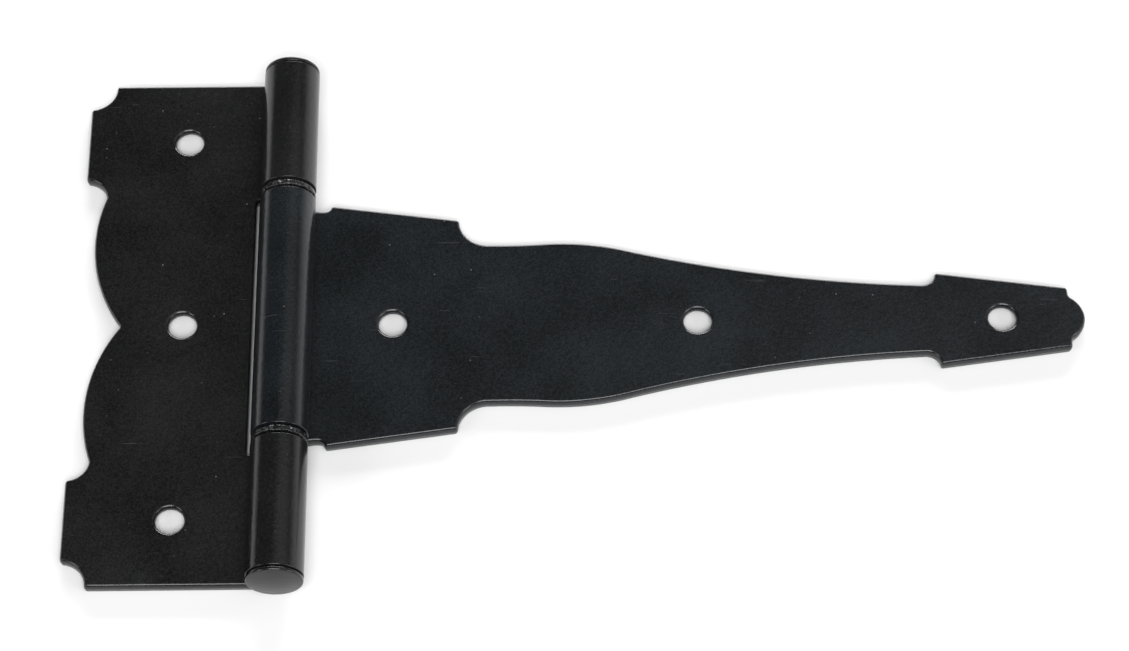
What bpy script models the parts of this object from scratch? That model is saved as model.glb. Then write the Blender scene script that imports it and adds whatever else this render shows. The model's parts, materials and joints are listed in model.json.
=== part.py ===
"""A T hinge for gates and shed doors: a post leaf, a long strap leaf and the barrel that joins them.

The hinge lies flat on its back faces. X runs along the strap towards its tip, Y runs along the
barrel and Z points up, out of the faces that show in use. Both leaves are blanks of the same
sheet, cut to a scalloped outline, with tongues that are rolled round the hinge pin.
"""
import math

import bmesh
import bpy
from mathutils import Matrix

MM = 0.001

# Driving dimensions, in millimetres. X is measured from the pin's axis, Y from the middle.
SHEET = 3.0
BARREL_RADIUS = 7.2
CURL_DEGREES = 300.0
BARREL_HALF = 73.3
FIT_GAP = 0.3

LEAF_REACH = 53.0
SLOT_EDGE_X = -8.3
SLOT_HALF = 37.1

STRAP_REACH = 203.2
KNUCKLE_HALF = 34.5
BLANK_HALF_AT_PIN = 36.93
BLANK_TAPER = 0.1412

HOLE_RADIUS = 3.5
LEAF_HOLES = ((-26.6, 55.3), (-26.0, 0.0), (-26.6, -55.3))
STRAP_HOLES = ((27.3, 0.0), (104.7, 0.0), (182.1, 0.0))

PIN_RADIUS = 3.95
PLUG_LENGTH = 6.0
CAP_RADIUS = 7.1
CAP_RIM = 1.0
CAP_DOME = 0.7
CAP_EDGE = 0.35

WASHER_THICKNESS = 1.5
WASHER_RADIUS = 7.1
WASHER_BORE = 4.25

# How finely round shapes are divided.
ARC_STEP_DEGREES = 7.5
ARC_STEP_LENGTH = 6.0
HOLE_SIDES = 40
ROUND_SIDES = 64
CORNER_CUT = 0.8
CORNER_DEGREES = 25.0

CURL_LENGTH = math.radians(CURL_DEGREES) * (BARREL_RADIUS - SHEET / 2)
PIN_X = -(STRAP_REACH - LEAF_REACH) / 2
WASHER_Y = (KNUCKLE_HALF + SLOT_HALF) / 2
PIN_HALF = BARREL_HALF - PLUG_LENGTH - FIT_GAP


def clear_scene():
    for obj in list(bpy.data.objects):
        bpy.data.objects.remove(obj, do_unlink=True)


def new_collection(name):
    collection = bpy.data.collections.new(name)
    bpy.context.scene.collection.children.link(collection)
    return collection


def powder_coat(name, shade, roughness):
    """Satin black powder coat on steel."""
    material = bpy.data.materials.new(name)
    material.use_nodes = True
    shader = material.node_tree.nodes["Principled BSDF"]
    shader.inputs["Base Color"].default_value = (*shade, 1.0)
    shader.inputs["Roughness"].default_value = roughness
    return material


def arc(start, end, sagitta):
    """The points after start, up to end, of an arc that stands out by sagitta to the right."""
    (x0, y0), (x1, y1) = start, end
    chord = math.hypot(x1 - x0, y1 - y0)
    if abs(sagitta) < 1e-6:
        return [end]
    half_angle = 2 * math.atan2(2 * abs(sagitta), chord)
    radius = chord / 2 / math.sin(half_angle)
    along = ((x1 - x0) / chord, (y1 - y0) / chord)
    right = (along[1], -along[0])
    side = math.copysign(1.0, sagitta)
    depth = radius * math.cos(half_angle)
    middle = ((x0 + x1) / 2 - right[0] * side * depth, (y0 + y1) / 2 - right[1] * side * depth)
    by_angle = math.degrees(2 * half_angle) / ARC_STEP_DEGREES
    by_length = 2 * half_angle * radius / ARC_STEP_LENGTH
    steps = max(2, math.ceil(by_angle), math.ceil(by_length))
    points = []
    for step in range(1, steps + 1):
        turn = -half_angle + 2 * half_angle * step / steps
        out, run = radius * math.cos(turn) * side, radius * math.sin(turn)
        points.append((middle[0] + right[0] * out + along[0] * run,
                       middle[1] + right[1] * out + along[1] * run))
    return points


def whole_outline(half):
    """A closed outline from its upper half, given as (x, y, sagitta of the stretch that follows)."""
    upper = [half[0][:2]]
    for (x0, y0, sagitta), (x1, y1, _) in zip(half, half[1:]):
        upper += arc((x0, y0), (x1, y1), sagitta)
    lower = [(x, -y) for x, y in reversed(upper)]
    joined = upper + lower
    return [p for p, q in zip(joined, joined[1:] + joined[:1]) if math.dist(p, q) > 1e-6]


def turn_at(before, here, after):
    """How far the outline turns at a point, in degrees."""
    first = math.atan2(here[1] - before[1], here[0] - before[0])
    second = math.atan2(after[1] - here[1], after[0] - here[0])
    return abs(math.degrees((second - first + math.pi) % math.tau - math.pi))


def ease_corners(points):
    """Rounds each sharp corner of a closed outline over CORNER_CUT to either side."""
    count = len(points)
    eased = []
    corners = [i for i in range(count) if turn_at(points[i - 1], points[i],
                                                  points[(i + 1) % count]) > CORNER_DEGREES]
    for i, point in enumerate(points):
        if i not in corners:
            if all(math.dist(point, points[c]) > CORNER_CUT for c in corners):
                eased.append(point)
            continue
        ends = []
        for step in (-1, 1):
            j = i + step
            while math.dist(point, points[j % count]) < CORNER_CUT:
                j += step
            reach = CORNER_CUT / math.dist(point, points[j % count])
            ends.append([p + (q - p) * reach for p, q in zip(point, points[j % count])])
        for t in (0.0, 0.25, 0.5, 0.75, 1.0):
            weights = ((1 - t) ** 2, 2 * t * (1 - t), t * t)
            eased.append(tuple(sum(w * p[axis] for w, p in zip(weights, (ends[0], point, ends[1])))
                               for axis in (0, 1)))
    return eased


def circle(centre, radius):
    angles = [math.tau * i / HOLE_SIDES for i in range(HOLE_SIDES)]
    return [(centre[0] + radius * math.cos(a), centre[1] + radius * math.sin(a)) for a in angles]


def flat_blank(name, outline, holes):
    """A flat sheet from z = 0 to SHEET, as a closed mesh in millimetres."""
    curve = bpy.data.curves.new(name, "CURVE")
    curve.dimensions = "2D"
    curve.fill_mode = "BOTH"
    curve.extrude = SHEET / 2
    for loop in [outline] + [circle(centre, HOLE_RADIUS) for centre in holes]:
        spline = curve.splines.new("POLY")
        spline.points.add(len(loop) - 1)
        for point, (x, y) in zip(spline.points, loop):
            point.co = (x, y, 0.0, 1.0)
        spline.use_cyclic_u = True
    source = bpy.data.objects.new(name + "_outline", curve)
    bpy.context.scene.collection.objects.link(source)
    bpy.context.view_layer.update()
    evaluated = source.evaluated_get(bpy.context.evaluated_depsgraph_get())
    mesh = bpy.data.meshes.new_from_object(evaluated)
    bpy.data.objects.remove(source, do_unlink=True)
    bpy.data.curves.remove(curve)
    shape = bmesh.new()
    shape.from_mesh(mesh)
    bpy.data.meshes.remove(mesh)
    bmesh.ops.remove_doubles(shape, verts=shape.verts, dist=0.001)
    bmesh.ops.translate(shape, verts=shape.verts, vec=(0, 0, SHEET / 2))
    return shape


def rolled_leaf(name, outline, holes, curl_side):
    """A blank whose tongues, past x = 0 on curl_side, are rolled up and back round the pin."""
    shape = flat_blank(name, outline, holes)
    bends = math.ceil(CURL_DEGREES / ARC_STEP_DEGREES)
    for i in range(bends):
        everything = shape.verts[:] + shape.edges[:] + shape.faces[:]
        place = (curl_side * CURL_LENGTH * i / bends, 0, 0)
        bmesh.ops.bisect_plane(shape, geom=everything, dist=0.001, plane_co=place,
                               plane_no=(1, 0, 0))
    for vert in shape.verts:
        run, depth = vert.co.x * curl_side, vert.co.z
        if run > 0:
            angle = run / (BARREL_RADIUS - SHEET / 2)
            radius = BARREL_RADIUS - depth
            vert.co.x = curl_side * radius * math.sin(angle)
            vert.co.z = -radius * math.cos(angle)
        else:
            vert.co.z = depth - BARREL_RADIUS
    return finished(name, shape)


def finished(name, shape):
    """Turns a bmesh in millimetres into a smooth-shaded mesh in metres."""
    bmesh.ops.recalc_face_normals(shape, faces=shape.faces)
    bmesh.ops.transform(shape, matrix=Matrix.Scale(MM, 4), verts=shape.verts)
    mesh = bpy.data.meshes.new(name)
    shape.to_mesh(mesh)
    shape.free()
    mesh.shade_smooth()
    mesh.set_sharp_from_angle(angle=math.radians(30))
    return mesh


def post_leaf_mesh():
    """The leaf that goes on the post: two tongues, a slot between them, three screw holes."""
    half = [
        (SLOT_EDGE_X, SLOT_HALF, 0.0),
        (CURL_LENGTH, SLOT_HALF, 0.0),
        (CURL_LENGTH, BARREL_HALF, 0.0),
        (-46.7, BARREL_HALF, -2.0),
        (-LEAF_REACH, 66.1, 0.0),
        (-LEAF_REACH, 43.9, -1.45),
        (-47.5, 38.6, 4.73),
        (-41.8, 0.0, 0.0),
    ]
    return rolled_leaf("post_leaf", ease_corners(whole_outline(half)), LEAF_HOLES, 1)


def blank_half(x):
    """Half the width of the strap's tapered blank."""
    return BLANK_HALF_AT_PIN - BLANK_TAPER * x


def strap_leaf_mesh():
    """The long leaf: one tongue, a straight tapered blank with scallops, three screw holes."""
    half = [
        (STRAP_REACH, 0.0, 0.94),
        (199.5, 6.1, 0.0),
        (199.3, blank_half(199.3), 0.0),
        (165.7, blank_half(165.7), -0.95),
        (162.5, 10.0, -2.0),
        (88.0, 20.95, 0.95),
        (66.0, 23.4, -0.15),
        (51.9, 23.1, -2.3),
        (44.0, blank_half(44.0), 0.0),
        (10.9, blank_half(10.9), -0.35),
        (9.7, 33.75, -0.35),
        (5.4, KNUCKLE_HALF, 0.0),
        (-CURL_LENGTH, KNUCKLE_HALF, 0.0),
    ]
    return rolled_leaf("strap_leaf", ease_corners(whole_outline(half)), STRAP_HOLES, -1)


def turned(name, profile, material, collection, parent, flip=False):
    """A round piece on the pin's axis, from (radius, y) points that run from low y to high y."""
    shape = bmesh.new()
    verts = [shape.verts.new((radius * MM, 0, y * MM)) for radius, y in reversed(profile)]
    for first, second in zip(verts, verts[1:]):
        shape.edges.new((first, second))
    mesh = bpy.data.meshes.new(name)
    shape.to_mesh(mesh)
    shape.free()
    obj = place(name, mesh, material, collection, parent)
    obj.rotation_euler.x = math.radians(90 if flip else -90)
    screw = obj.modifiers.new("turn", "SCREW")
    screw.steps = ROUND_SIDES
    screw.render_steps = ROUND_SIDES
    screw.use_merge_vertices = True
    screw.merge_threshold = 0.00001
    return obj


def place(name, mesh, material, collection, parent):
    mesh.materials.append(material)
    obj = bpy.data.objects.new(name, mesh)
    collection.objects.link(obj)
    obj.parent = parent
    return obj


def washer_profile():
    half = WASHER_THICKNESS / 2
    loop = [(WASHER_BORE, -half), (WASHER_RADIUS, -half), (WASHER_RADIUS, half), (WASHER_BORE, half)]
    return loop + loop[:1]


def cap_profile():
    """A plug that presses into the barrel's bore, under a domed head as wide as the barrel."""
    seat = BARREL_HALF + FIT_GAP
    rim = seat + CAP_RIM
    profile = [(0.0, BARREL_HALF - PLUG_LENGTH), (PIN_RADIUS, BARREL_HALF - PLUG_LENGTH),
               (PIN_RADIUS, seat), (CAP_RADIUS - CAP_EDGE, seat)]
    for y, start in ((seat + CAP_EDGE, -90), (rim - CAP_EDGE, 0)):
        for i in range(4):
            angle = math.radians(start + 30 * i)
            profile.append((CAP_RADIUS - CAP_EDGE + CAP_EDGE * math.cos(angle),
                            y + CAP_EDGE * math.sin(angle)))
    dome_edge = CAP_RADIUS - CAP_EDGE
    for i in range(1, 7):
        radius = dome_edge * (1 - i / 6)
        profile.append((radius, rim + CAP_DOME * (1 - (radius / dome_edge) ** 2)))
    return [p for i, p in enumerate(profile) if i == 0 or math.dist(p, profile[i - 1]) > 1e-6]


def pin_profile():
    chamfer = 0.5
    return [(0.0, -PIN_HALF), (PIN_RADIUS - chamfer, -PIN_HALF), (PIN_RADIUS, chamfer - PIN_HALF),
            (PIN_RADIUS, PIN_HALF - chamfer), (PIN_RADIUS - chamfer, PIN_HALF), (0.0, PIN_HALF)]


def build():
    clear_scene()
    hinge = new_collection("t_hinge")
    axis = bpy.data.objects.new("pin_axis", None)
    axis.location = (PIN_X * MM, 0, BARREL_RADIUS * MM)
    hinge.objects.link(axis)

    leaf_coat = powder_coat("leaf_coat", (0.014, 0.014, 0.015), 0.42)
    strap_coat = powder_coat("strap_coat", (0.016, 0.018, 0.020), 0.42)
    hardware_coat = powder_coat("hardware_coat", (0.020, 0.021, 0.022), 0.38)

    place("post_leaf", post_leaf_mesh(), leaf_coat, hinge, axis)
    place("strap_leaf", strap_leaf_mesh(), strap_coat, hinge, axis)
    turned("hinge_pin", pin_profile(), hardware_coat, hinge, axis)
    turned("upper_pin_cap", cap_profile(), hardware_coat, hinge, axis)
    turned("lower_pin_cap", cap_profile(), hardware_coat, hinge, axis, flip=True)
    for name, side in (("upper_washer", 1), ("lower_washer", -1)):
        washer = turned(name, washer_profile(), hardware_coat, hinge, axis)
        washer.location.y = side * WASHER_Y * MM


build()
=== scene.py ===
"""The looks of a satin black T hinge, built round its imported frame.

The two leaves are made the way the real ones are: a scalloped blank with die-rolled edges, whose
tongues are then rolled round the pin. Lengths are in metres, in the frame's own coordinates.
"""
import json
import math

import bmesh
import bpy
from mathutils import Matrix, Vector


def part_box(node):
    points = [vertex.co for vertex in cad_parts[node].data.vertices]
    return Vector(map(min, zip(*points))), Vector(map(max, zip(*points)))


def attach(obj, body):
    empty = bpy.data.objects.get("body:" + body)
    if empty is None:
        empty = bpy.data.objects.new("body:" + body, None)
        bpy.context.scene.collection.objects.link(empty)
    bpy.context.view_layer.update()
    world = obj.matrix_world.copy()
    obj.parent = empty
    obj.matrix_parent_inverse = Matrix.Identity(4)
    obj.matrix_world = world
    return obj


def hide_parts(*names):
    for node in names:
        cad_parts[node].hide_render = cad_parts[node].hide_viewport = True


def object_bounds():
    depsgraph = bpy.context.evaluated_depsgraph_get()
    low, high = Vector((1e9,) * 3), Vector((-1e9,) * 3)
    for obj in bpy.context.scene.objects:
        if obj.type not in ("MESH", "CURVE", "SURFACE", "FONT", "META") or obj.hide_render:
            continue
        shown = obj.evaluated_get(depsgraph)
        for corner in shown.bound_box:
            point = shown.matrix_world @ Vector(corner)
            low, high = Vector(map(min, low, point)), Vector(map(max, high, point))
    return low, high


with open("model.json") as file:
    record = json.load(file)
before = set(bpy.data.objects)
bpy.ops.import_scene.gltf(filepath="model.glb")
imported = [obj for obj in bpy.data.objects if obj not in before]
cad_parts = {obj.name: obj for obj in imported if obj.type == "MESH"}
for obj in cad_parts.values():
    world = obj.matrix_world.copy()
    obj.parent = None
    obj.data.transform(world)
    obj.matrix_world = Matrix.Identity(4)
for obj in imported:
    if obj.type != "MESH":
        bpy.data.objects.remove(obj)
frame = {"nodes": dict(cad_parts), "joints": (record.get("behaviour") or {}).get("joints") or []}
cad_low, cad_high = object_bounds()

MM = 0.001

# ---------------------------------------------------------------- where things are
NODES = frame["nodes"]
SWING = next(joint for joint in frame["joints"] if joint["name"] == "strap_swing")
PIN = Vector(SWING["pos_m"])
LEAF_LOW, LEAF_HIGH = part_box("post_leaf")
STRAP_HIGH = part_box("strap_leaf")[1]
CAP_LOW, CAP_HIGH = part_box("upper_pin_cap")

BARREL_RADIUS = PIN.z
SHEET = 3.0 * MM
CURL_ANGLE = math.radians(300)
CURL_LENGTH = CURL_ANGLE * (BARREL_RADIUS - SHEET / 2)
BARREL_HALF = LEAF_HIGH.y
KNUCKLE_HALF = 34.5 * MM
SLOT_HALF = 37.1 * MM
SLOT_EDGE = 8.3 * MM
LEAF_REACH = PIN.x - LEAF_LOW.x
STRAP_REACH = STRAP_HIGH.x - PIN.x
BLANK_HALF_AT_PIN = 36.93 * MM
BLANK_TAPER = 0.1412
HOLE_RADIUS = 3.5 * MM
LEAF_HOLES = ((-26.6 * MM, 55.3 * MM), (-26.0 * MM, 0.0), (-26.6 * MM, -55.3 * MM))
STRAP_HOLES = ((27.3 * MM, 0.0), (104.7 * MM, 0.0), (182.1 * MM, 0.0))
WASHER_THICKNESS = 1.5 * MM
WASHER_BORE = 4.25 * MM
HEAD_RADIUS = 7.1 * MM
PLUG_RADIUS = 3.95 * MM

# ---------------------------------------------------------------- how finely things are made
ARC_STEP = math.radians(2.5)
ARC_LENGTH = 2.0 * MM
BEND_STEP = math.radians(3.0)
HOLE_SIDES = 96
CORNER_CUT = 0.9 * MM
CORNER_STEPS = 8
CORNER_ANGLE = math.radians(25)
ROLL_STEPS = 6
BURR_STEPS = 3
ROUND_SIDES = 128
DOME_STEPS = 16
SAME_PLACE = 1e-6

# ---------------------------------------------------------------- how bright the studio is
# The horizon to the left and right, the sky above it, and a soft glow high up towards the strap's tip.
LEFT_HORIZON = 1.1
RIGHT_HORIZON = 1.0
ZENITH = 0.03
OVERHEAD = 0.45
GLOW_WAY = (0.5, -0.35, 1.0)
FLOOR_SIZE = 6.0
FLOOR_DROP = 0.2 * MM

# ---------------------------------------------------------------- shades of the coat
RUBBED_SHADE = (0.032, 0.034, 0.036, 1.0)
SCRATCH_SHADE = (0.07, 0.072, 0.075, 1.0)
DUST_SHADE = (0.16, 0.165, 0.165, 1.0)
# Lighter shade of the cut edges' lower band: partly the real tear of the cut, partly a painted reflection
# of the white floor.
TORN_AND_FLOOR_REFLECTION_SHADE = (0.03, 0.031, 0.031, 1.0)


# ---------------------------------------------------------------- outlines
def arc(start, end, sagitta):
    """The points after start, up to end, of an arc that stands out by sagitta to the right."""
    chord_vector = end - start
    chord = chord_vector.length
    along = chord_vector / chord
    right = Vector((along.y, -along.x))
    if abs(sagitta) < 1e-9:
        steps = max(1, math.ceil(chord / ARC_LENGTH))
        return [start.lerp(end, step / steps) for step in range(1, steps + 1)]
    half_angle = 2 * math.atan2(2 * abs(sagitta), chord)
    radius = chord / 2 / math.sin(half_angle)
    side = math.copysign(1.0, sagitta)
    middle = (start + end) / 2 - right * side * radius * math.cos(half_angle)
    steps = max(2, math.ceil(2 * half_angle / ARC_STEP), math.ceil(2 * half_angle * radius / ARC_LENGTH))
    turns = (half_angle * (2 * step / steps - 1) for step in range(1, steps + 1))
    return [middle + right * side * radius * math.cos(t) + along * radius * math.sin(t) for t in turns]


def whole_outline(half):
    """A closed outline from its upper half, given as (x, y, sagitta of the stretch that follows)."""
    points = [Vector((x, y)) for x, y, _ in half]
    upper = [points[0]]
    for start, end, (_, _, sagitta) in zip(points, points[1:], half):
        upper += arc(start, end, sagitta)
    joined = upper + [Vector((p.x, -p.y)) for p in reversed(upper)]
    return [p for p, q in zip(joined, joined[1:] + joined[:1]) if (p - q).length > 1e-7]


def ease_corners(points):
    """Rounds each sharp corner of a closed outline over CORNER_CUT to either side."""
    count = len(points)
    corners = []
    for i, here in enumerate(points):
        turn = (here - points[i - 1]).angle(points[(i + 1) % count] - here)
        if turn > CORNER_ANGLE:
            corners.append(i)
    eased = []
    for i, here in enumerate(points):
        if i not in corners:
            if all((here - points[c]).length > CORNER_CUT for c in corners):
                eased.append(here)
            continue
        ends = []
        for step in (-1, 1):
            j = i + step
            while (points[j % count] - here).length < CORNER_CUT:
                j += step
            ends.append(here + (points[j % count] - here).normalized() * CORNER_CUT)
        for k in range(CORNER_STEPS + 1):
            t = k / CORNER_STEPS
            eased.append(ends[0] * (1 - t) ** 2 + here * 2 * t * (1 - t) + ends[1] * t * t)
    return eased


def hole(centre, radius):
    """A round hole's outline, clockwise, so that the metal is on its left as on the outline's."""
    turns = (-math.tau * i / HOLE_SIDES for i in range(HOLE_SIDES))
    return [Vector((centre[0] + radius * math.cos(t), centre[1] + radius * math.sin(t))) for t in turns]


def inset(loop, distance):
    """Moves a closed outline into the metal, which lies on its left."""
    moved = []
    for before, here, after in zip(loop[-1:] + loop[:-1], loop, loop[1:] + loop[:1]):
        first, second = (here - before).normalized(), (after - here).normalized()
        middle = (first + second).normalized()
        inward = Vector((-middle.y, middle.x))
        moved.append(here + inward * distance / max(0.5, middle.dot(first)))
    return moved


# ---------------------------------------------------------------- sheet metal
def edge_profile(front_in, front_deep, taper, back=0.15 * MM):
    """(inset, depth) from the back face to the front one.

    First the torn, tapered lower half of the cut with its small rounded edge, then the sheared
    upper half, then the rolled front edge.
    """
    profile = []
    for i in range(BURR_STEPS + 1):
        turn = math.pi / 2 * i / BURR_STEPS
        profile.append((taper + back * (1 - math.sin(turn)), back * (1 - math.cos(turn))))
    profile.append((0.0, SHEET * 0.5))
    for i in range(ROLL_STEPS + 1):
        turn = math.pi / 2 * i / ROLL_STEPS
        profile.append((front_in * (1 - math.cos(turn)), SHEET - front_deep * (1 - math.sin(turn))))
    return profile


def wall(shape, loop, profile):
    """The edge of the sheet along one outline; returns the rims of its back and front faces."""
    rings = []
    for distance, depth in profile:
        rings.append([shape.verts.new((p.x, p.y, depth)) for p in inset(loop, distance)])
    for low, high in zip(rings, rings[1:]):
        for i in range(len(loop)):
            j = (i + 1) % len(loop)
            shape.faces.new((low[i], low[j], high[j], high[i]))
    rims = []
    for ring in (rings[0], rings[-1]):
        rims.append([shape.edges.get((a, b)) for a, b in zip(ring, ring[1:] + ring[:1])])
    return rims


def sheet_leaf(name, outline, holes, curl_side):
    """A cut blank whose tongues, past the pin on curl_side, are rolled up and back round it."""
    shape = bmesh.new()
    outer_edge = edge_profile(front_in=0.75 * MM, front_deep=1.2 * MM, taper=0.2 * MM)
    hole_edge = edge_profile(front_in=0.9 * MM, front_deep=1.0 * MM, taper=0.9 * MM)
    back, front = wall(shape, outline, outer_edge)
    for centre in holes:
        rims = wall(shape, hole(centre, HOLE_RADIUS), hole_edge)
        back += rims[0]
        front += rims[1]
    for rim in (back, front):
        bmesh.ops.triangle_fill(shape, use_beauty=False, use_dissolve=False, edges=rim)
    cut_for_bending(shape, curl_side)
    return as_object(name, shape, bend(shape, curl_side))


def cut_for_bending(shape, curl_side):
    """Cuts the tongues across into strips, each of which is one flat facet of the curl."""
    bends = math.ceil(CURL_ANGLE / BEND_STEP)
    for i in range(bends):
        everything = shape.verts[:] + shape.edges[:] + shape.faces[:]
        bmesh.ops.bisect_plane(shape, geom=everything, dist=SAME_PLACE, plane_no=(1, 0, 0),
                               plane_co=(curl_side * CURL_LENGTH * i / bends, 0, 0))
    slivers = []
    for edge in shape.edges:
        runs = [vert.co.x * curl_side for vert in edge.verts]
        if min(runs) > -SAME_PLACE and abs(runs[0] - runs[1]) > SAME_PLACE:
            slivers.append(edge)
    bmesh.ops.dissolve_limit(shape, angle_limit=0.001, verts=[], edges=slivers)
    bmesh.ops.recalc_face_normals(shape, faces=shape.faces)


def bend(shape, curl_side):
    """Rolls the tongues round the pin, and returns each point's normal, which turns with it."""
    normals = []
    for vert in shape.verts:
        faces = vert.link_faces
        facing = sum((face.normal * face.calc_area() for face in faces), Vector()).normalized()
        if any(abs(face.normal.z) > 0.999 for face in faces):
            facing = Vector((0, 0, 1 if vert.co.z > SHEET / 2 else -1))
        run, depth = vert.co.x * curl_side, vert.co.z
        if run > 0:
            angle = run / (BARREL_RADIUS - SHEET / 2)
            along = Vector((curl_side * math.cos(angle), 0, math.sin(angle)))
            inward = Vector((-curl_side * math.sin(angle), 0, math.cos(angle)))
            facing = along * facing.x * curl_side + Vector((0, facing.y, 0)) + inward * facing.z
            vert.co.x = curl_side * (BARREL_RADIUS - depth) * math.sin(angle)
            vert.co.z = BARREL_RADIUS - (BARREL_RADIUS - depth) * math.cos(angle)
        vert.co.x += PIN.x
        normals.append(facing)
    return normals


def as_object(name, shape, normals=None):
    """An object of this shape, shaded by the given vertex normals, or by evened-out ones."""
    mesh = bpy.data.meshes.new(name)
    shape.to_mesh(mesh)
    shape.free()
    mesh.shade_smooth()
    obj = bpy.data.objects.new(name, mesh)
    bpy.context.scene.collection.objects.link(obj)
    if normals:
        mesh.normals_split_custom_set_from_vertices(normals)
    else:
        modifier = obj.modifiers.new("even_normals", "WEIGHTED_NORMAL")
        modifier.weight = 60
    return obj


def make_post_leaf():
    half = [
        (-SLOT_EDGE, SLOT_HALF, 0.0),
        (CURL_LENGTH, SLOT_HALF, 0.0),
        (CURL_LENGTH, BARREL_HALF, 0.0),
        (-46.7 * MM, BARREL_HALF, -2.0 * MM),
        (-LEAF_REACH, 66.1 * MM, 0.0),
        (-LEAF_REACH, 43.9 * MM, -1.45 * MM),
        (-47.5 * MM, 38.6 * MM, 4.73 * MM),
        (-41.8 * MM, 0.0, 0.0),
    ]
    return sheet_leaf("post_leaf_sheet", ease_corners(whole_outline(half)), LEAF_HOLES, 1)


def blank_half(x):
    """Half the width of the strap's straight, tapered blank."""
    return BLANK_HALF_AT_PIN - BLANK_TAPER * x


def make_strap_leaf():
    half = [
        (STRAP_REACH, 0.0, 0.94 * MM),
        (199.5 * MM, 6.1 * MM, 0.0),
        (199.3 * MM, blank_half(199.3 * MM), 0.0),
        (165.7 * MM, blank_half(165.7 * MM), -0.95 * MM),
        (162.5 * MM, 10.0 * MM, -2.0 * MM),
        (88.0 * MM, 20.95 * MM, 0.95 * MM),
        (66.0 * MM, 23.4 * MM, -0.15 * MM),
        (51.9 * MM, 23.1 * MM, -2.3 * MM),
        (44.0 * MM, blank_half(44.0 * MM), 0.0),
        (10.9 * MM, blank_half(10.9 * MM), -0.35 * MM),
        (9.7 * MM, 33.75 * MM, -0.35 * MM),
        (5.4 * MM, KNUCKLE_HALF, 0.0),
        (-CURL_LENGTH, KNUCKLE_HALF, 0.0),
    ]
    return sheet_leaf("strap_leaf_sheet", ease_corners(whole_outline(half)), STRAP_HOLES, -1)


# ---------------------------------------------------------------- turned pieces
def turned(name, profile):
    """A round piece about the pin's axis from a closed or axis-to-axis list of (radius, y)."""
    shape = bmesh.new()
    rings = []
    for radius, y in profile:
        if radius < 1e-7:
            rings.append([shape.verts.new((PIN.x, y, PIN.z))])
            continue
        turns = (math.tau * i / ROUND_SIDES for i in range(ROUND_SIDES))
        rings.append([shape.verts.new((PIN.x + radius * math.cos(t), y, PIN.z + radius * math.sin(t)))
                      for t in turns])
    for low, high in zip(rings, rings[1:]):
        for i in range(ROUND_SIDES):
            j = (i + 1) % ROUND_SIDES
            corners = [low[i % len(low)], low[j % len(low)], high[j % len(high)], high[i % len(high)]]
            shape.faces.new(list(dict.fromkeys(corners)))
    bmesh.ops.remove_doubles(shape, verts=shape.verts, dist=1e-7)
    bmesh.ops.recalc_face_normals(shape, faces=shape.faces)
    return as_object(name, shape)


def rounded(centre, radius, start, end, steps=6):
    """(radius, y) points along a small arc, with its angles in degrees from the outward direction."""
    points = []
    for i in range(steps + 1):
        turn = math.radians(start + (end - start) * i / steps)
        points.append((centre[0] + radius * math.cos(turn), centre[1] + radius * math.sin(turn)))
    return points


def make_cap(name, side):
    """A plug in the bore under a domed head, with a rounded rim."""
    inner_edge, edge, dome, rim = 0.2 * MM, 0.45 * MM, 0.7 * MM, 1.0 * MM
    seat = CAP_HIGH.y - dome - rim
    profile = [(0.0, CAP_LOW.y), (PLUG_RADIUS, CAP_LOW.y), (PLUG_RADIUS, seat)]
    profile += rounded((HEAD_RADIUS - inner_edge, seat + inner_edge), inner_edge, -90, 0, 3)
    profile += rounded((HEAD_RADIUS - edge, seat + rim - edge), edge, 0, 80)
    start_radius, start_y = profile[-1]
    for i in range(1, DOME_STEPS + 1):
        radius = start_radius * (1 - i / DOME_STEPS)
        crown = 1 - (radius / start_radius) ** 2
        profile.append((radius, start_y + (CAP_HIGH.y - start_y) * crown))
    return turned(name, [(radius, y * side) for radius, y in profile])


def make_washer(name, side):
    """A thrust washer with soft, paint-filled edges."""
    edge = 0.35 * MM
    middle = side * (KNUCKLE_HALF + SLOT_HALF) / 2
    low, high = middle - WASHER_THICKNESS / 2, middle + WASHER_THICKNESS / 2
    profile = [(WASHER_BORE, low)]
    profile += rounded((HEAD_RADIUS - edge, low + edge), edge, -90, 0)
    profile += rounded((HEAD_RADIUS - edge, high - edge), edge, 0, 90)
    profile += [(WASHER_BORE, high), (WASHER_BORE, low)]
    return turned(name, profile)


# ---------------------------------------------------------------- materials
class Graph:
    """A short way to write a material's nodes."""

    def __init__(self, name):
        self.material = bpy.data.materials.new(name)
        self.material.use_nodes = True
        self.tree = self.material.node_tree
        self.shader = self.tree.nodes["Principled BSDF"]

    def node(self, kind, inputs=None, **settings):
        made = self.tree.nodes.new(kind)
        for key, value in settings.items():
            setattr(made, key, value)
        for key, value in (inputs or {}).items():
            if isinstance(value, bpy.types.NodeSocket):
                self.tree.links.new(value, made.inputs[key])
            else:
                made.inputs[key].default_value = value
        return made

    def noise(self, place, scale, detail=2.0, rough=0.5):
        made = self.node("ShaderNodeTexNoise", {"Vector": place, "Scale": scale, "Detail": detail,
                                                 "Roughness": rough})
        return made.outputs["Fac"]

    def spread(self, value, low, high, to_low=0.0, to_high=1.0):
        made = self.node("ShaderNodeMapRange", {"Value": value, "From Min": low, "From Max": high,
                                                 "To Min": to_low, "To Max": to_high})
        made.clamp = True
        return made.outputs["Result"]

    def math(self, operation, first, second):
        return self.node("ShaderNodeMath", {0: first, 1: second}, operation=operation).outputs[0]

    def mix(self, factor, first, second):
        """Blends two colours. A node of this kind keeps its colour inputs in sockets 6 and 7."""
        made = self.node("ShaderNodeMix", data_type="RGBA")
        for socket, value in ((made.inputs[0], factor), (made.inputs[6], first), (made.inputs[7], second)):
            if isinstance(value, bpy.types.NodeSocket):
                self.tree.links.new(value, socket)
            else:
                socket.default_value = value
        return made.outputs[2]


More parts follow.
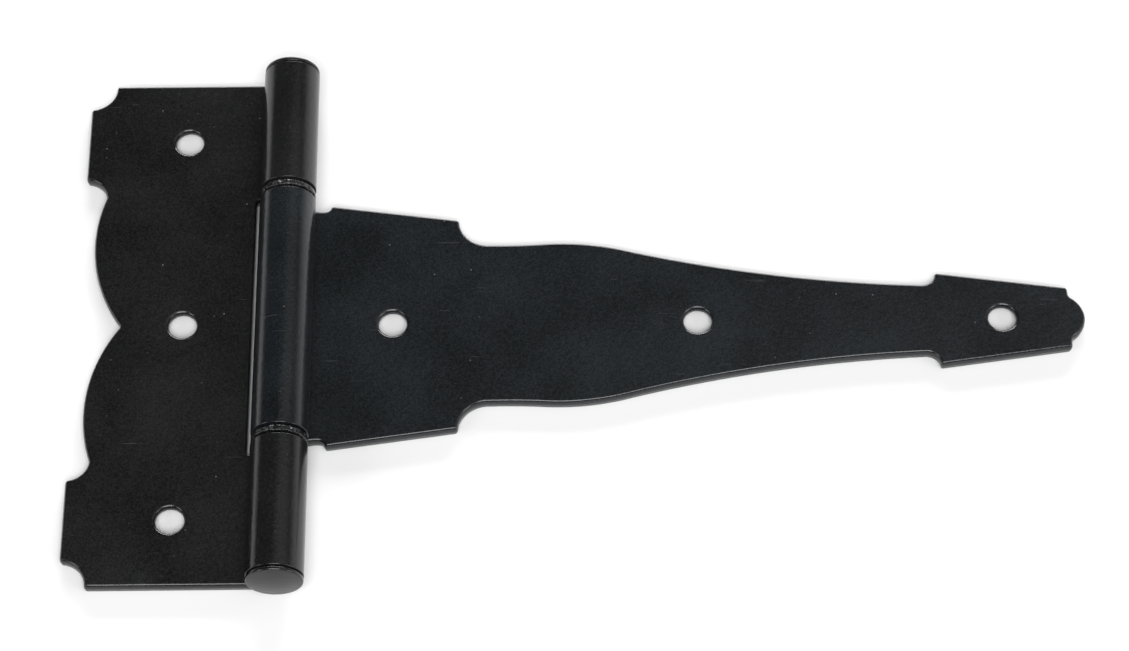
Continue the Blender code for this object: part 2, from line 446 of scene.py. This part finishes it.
def powder_coat(name, shade, roughness, lumps=0.0):
    """Satin black powder coat: soft mottling, orange peel, dust specks, rubbed spots and scratches.

    The sheared edges of the sheet show the tear of the cut through it; their lower band is also
    painted lighter, a painted reflection of the white floor. Lumps is how unevenly the coat has
    run, for the places where it bridges two pieces.
    """
    graph = Graph(name)
    place = graph.node("ShaderNodeTexCoord").outputs["Object"]
    cloud = graph.noise(place, 45.0, 3.0)
    grain = graph.noise(place, 2200.0, 2.0, 0.6)
    peel = graph.noise(place, 700.0, 1.0)
    dark = (*[channel * 0.45 for channel in shade], 1.0)
    light = (*[channel * 1.7 for channel in shade], 1.0)
    tone = graph.math("ADD", graph.math("MULTIPLY", cloud, 0.35), graph.math("MULTIPLY", grain, 0.65))
    colour = graph.mix(graph.spread(tone, 0.36, 0.64), dark, light)

    rubbed = graph.spread(graph.noise(place, 80.0, 5.0, 0.65), 0.66, 0.78, 0.0, 0.3)
    colour = graph.mix(rubbed, colour, RUBBED_SHADE)

    drawn = graph.node("ShaderNodeMapping", {"Vector": place, "Rotation": (0.0, 0.0, 1.25),
                                             "Scale": (90.0, 2600.0, 90.0)})
    lines = graph.spread(graph.noise(drawn.outputs["Vector"], 1.0, 1.0), 0.73, 0.76)
    patch = graph.spread(graph.noise(place, 70.0, 1.0), 0.58, 0.62)
    scratches = graph.math("MULTIPLY", lines, patch)
    colour = graph.mix(graph.math("MULTIPLY", scratches, 0.5), colour, SCRATCH_SHADE)

    specks = graph.node("ShaderNodeTexVoronoi", {"Vector": place, "Scale": 430.0}, feature="F1")
    chance = graph.node("ShaderNodeSeparateColor", {0: specks.outputs["Color"]}).outputs[0]
    dot = graph.spread(specks.outputs["Distance"], 0.05, 0.11, 1.0, 0.0)
    dust = graph.math("MULTIPLY", graph.spread(chance, 0.86, 1.0, 0.0, 0.8), dot)
    colour = graph.mix(dust, colour, DUST_SHADE)

    surface = graph.node("ShaderNodeNewGeometry").outputs["True Normal"]
    facing = graph.node("ShaderNodeSeparateXYZ", {0: surface})
    upright = graph.spread(graph.math("ABSOLUTE", facing.outputs["Z"], 0.0), 0.15, 0.4, 1.0, 0.0)
    height = graph.node("ShaderNodeSeparateXYZ", {0: place}).outputs["Z"]
    low_down = graph.spread(height, 1.4 * MM, 1.8 * MM, 1.0, 0.0)
    torn = graph.math("MULTIPLY", upright, low_down)
    tear = graph.node("ShaderNodeMapping", {"Vector": place, "Scale": (700.0, 700.0, 2600.0)})
    ridges = graph.noise(tear.outputs["Vector"], 1.0, 3.0, 0.6)
    shown = graph.math("MULTIPLY", torn, graph.spread(ridges, 0.4, 0.65, 0.1, 0.8))
    # The lower band of each upright cut edge is painted lighter: torn streaks of the cut, and a painted
    # reflection of the white floor.
    colour = graph.mix(shown, colour, TORN_AND_FLOOR_REFLECTION_SHADE)
    graph.tree.links.new(colour, graph.shader.inputs["Base Color"])

    rough = graph.spread(graph.math("ADD", cloud, grain), 0.7, 1.3, roughness - 0.03, roughness + 0.04)
    graph.tree.links.new(rough, graph.shader.inputs["Roughness"])
    fine = graph.node("ShaderNodeBump", {"Height": grain, "Strength": 0.14, "Distance": 0.12 * MM})
    soft = graph.node("ShaderNodeBump", {"Height": peel, "Strength": 0.2, "Distance": 0.2 * MM,
                                         "Normal": fine.outputs["Normal"]})
    edge = graph.node("ShaderNodeBump", {"Height": graph.math("MULTIPLY", ridges, torn), "Strength": 0.5,
                                         "Distance": 0.3 * MM, "Normal": soft.outputs["Normal"]})
    normal = edge.outputs["Normal"]
    if lumps:
        run = graph.noise(place, 450.0, 2.0, 0.5)
        normal = graph.node("ShaderNodeBump", {"Height": run, "Strength": lumps, "Distance": 2.0 * MM,
                                               "Normal": normal}).outputs["Normal"]
    graph.tree.links.new(normal, graph.shader.inputs["Normal"])
    return graph.material


# ---------------------------------------------------------------- stage
def add_floor():
    bpy.ops.mesh.primitive_plane_add(size=FLOOR_SIZE, location=(0, 0, cad_low.z - FLOOR_DROP))
    floor = bpy.context.object
    floor.name = "floor"
    graph = Graph("floor_white")
    graph.shader.inputs["Base Color"].default_value = (0.9, 0.9, 0.9, 1.0)
    graph.shader.inputs["Roughness"].default_value = 0.9
    graph.shader.inputs["Specular IOR Level"].default_value = 0.1
    floor.data.materials.append(graph.material)


def add_light(name, place, target, size, watts):
    data = bpy.data.lights.new(name, "AREA")
    data.shape = "RECTANGLE"
    data.size, data.size_y = size
    data.energy = watts
    light = bpy.data.objects.new(name, data)
    light.location = place
    light.rotation_euler = (Vector(target) - Vector(place)).to_track_quat("-Z", "Y").to_euler()
    bpy.context.scene.collection.objects.link(light)


def add_world():
    """A studio that is bright low down at the sides and behind, and dark higher up and in front,
    but for a soft glow overhead."""
    world = bpy.data.worlds.new("studio")
    world.use_nodes = True
    tree = world.node_tree
    background = tree.nodes["Background"]
    way = tree.nodes.new("ShaderNodeTexCoord").outputs["Generated"]
    split = tree.nodes.new("ShaderNodeSeparateXYZ")
    tree.links.new(way, split.inputs[0])

    def ramp(socket, low, high, to_low, to_high):
        """A smooth step in the sky's brightness, by the way that one looks."""
        made = tree.nodes.new("ShaderNodeMapRange")
        made.interpolation_type = "SMOOTHSTEP"
        tree.links.new(socket, made.inputs["Value"])
        for key, value in (("From Min", low), ("From Max", high), ("To Min", to_low), ("To Max", to_high)):
            made.inputs[key].default_value = value
        return made.outputs["Result"]

    left = ramp(split.outputs["Z"], 0.0, 0.25, LEFT_HORIZON, ZENITH)
    right = ramp(split.outputs["Z"], 0.0, 0.55, RIGHT_HORIZON, ZENITH)
    side = ramp(split.outputs["X"], -0.8, 0.8, 0.0, 1.0)
    front = ramp(split.outputs["Y"], -0.75, -0.15, 0.12, 1.0)
    lean = tree.nodes.new("ShaderNodeVectorMath")
    lean.operation = "DOT_PRODUCT"
    tree.links.new(way, lean.inputs[0])
    lean.inputs[1].default_value = GLOW_WAY
    above = ramp(lean.outputs["Value"], 0.66, 0.88, 0.0, OVERHEAD)
    blend = tree.nodes.new("ShaderNodeMix")
    for socket, value in ((blend.inputs[0], side), (blend.inputs[2], left), (blend.inputs[3], right)):
        tree.links.new(value, socket)
    strength = tree.nodes.new("ShaderNodeMath")
    strength.operation = "MULTIPLY"
    tree.links.new(blend.outputs[0], strength.inputs[0])
    tree.links.new(front, strength.inputs[1])
    total = tree.nodes.new("ShaderNodeMath")
    total.operation = "ADD"
    tree.links.new(strength.outputs[0], total.inputs[0])
    tree.links.new(above, total.inputs[1])
    tree.links.new(total.outputs[0], background.inputs["Strength"])
    background.inputs["Color"].default_value = (1, 1, 1, 1)
    bpy.context.scene.world = world


def add_camera():
    """Looks down at the hinge's face from the lower cap's side, through a long lens."""
    elevation, azimuth, roll = math.radians(59.84), math.radians(-0.495), math.radians(-0.127)
    distance = 0.8481
    target = Vector((PIN.x + 0.0709, 0.0005, cad_low.z))
    back = Vector((math.sin(azimuth) * math.cos(elevation), -math.cos(azimuth) * math.cos(elevation),
                   math.sin(elevation)))
    right = Vector((math.cos(azimuth), math.sin(azimuth), 0.0))
    turn = Matrix((right, back.cross(right), back)).transposed() @ Matrix.Rotation(roll, 3, "Z")
    data = bpy.data.cameras.new("camera")
    data.sensor_width = 36.0
    data.lens = 106.21
    camera = bpy.data.objects.new("camera", data)
    camera.matrix_world = Matrix.Translation(target + back * distance) @ turn.to_4x4()
    bpy.context.scene.collection.objects.link(camera)
    bpy.context.scene.camera = camera


def light_the_stage():
    """A large overhead key, a weak fill to either side, and a low light behind for the soft shadow."""
    scene = bpy.context.scene
    scene.view_settings.view_transform = "Standard"
    scene.view_settings.look = "None"
    add_world()
    centre = (0.0, 0.0, 0.0)
    add_light("key", (0.1, -1.5, 2.1), centre, (1.6, 1.4), 52.0)
    add_light("left", (-1.5, -0.9, 0.85), centre, (0.9, 0.7), 9.0)
    add_light("right", (1.7, -0.9, 0.85), centre, (0.9, 0.7), 9.0)
    add_light("back", (0.1, 1.5, 0.5), centre, (1.2, 0.4), 21.0)


# ---------------------------------------------------------------- the hinge
def fit(piece, node, body, material):
    """Hangs a finished piece on its body, in place of its plain node."""
    piece.data.materials.append(material)
    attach(piece, body)
    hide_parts(node)


leaf_coat = powder_coat("leaf_powder_coat", (0.0090, 0.0091, 0.0094), 0.19)
# The strap's coat is the same black coat as the leaf's, made lighter and bluer: a painted sheen for light
# reflected from the right.
strap_coat_painted_sheen = powder_coat("strap_powder_coat_painted_sheen", (0.0088, 0.0106, 0.0121), 0.19)
hardware_coat = powder_coat("hardware_powder_coat", (0.0085, 0.0087, 0.009), 0.2)
ring_coat = powder_coat("ring_powder_coat", (0.009, 0.0092, 0.0095), 0.2, lumps=0.8)

fit(make_post_leaf(), "post_leaf", "post", leaf_coat)
fit(make_strap_leaf(), "strap_leaf", "strap", strap_coat_painted_sheen)
fit(make_cap("upper_domed_cap", 1), "upper_pin_cap", "post", hardware_coat)
fit(make_cap("lower_domed_cap", -1), "lower_pin_cap", "post", hardware_coat)
fit(make_washer("upper_thrust_ring", 1), "upper_washer", "upper_washer_ring", ring_coat)
fit(make_washer("lower_thrust_ring", -1), "lower_washer", "lower_washer_ring", ring_coat)
NODES["hinge_pin"].data.materials.clear()
NODES["hinge_pin"].data.materials.append(hardware_coat)

add_floor()
add_camera()
light_the_stage()
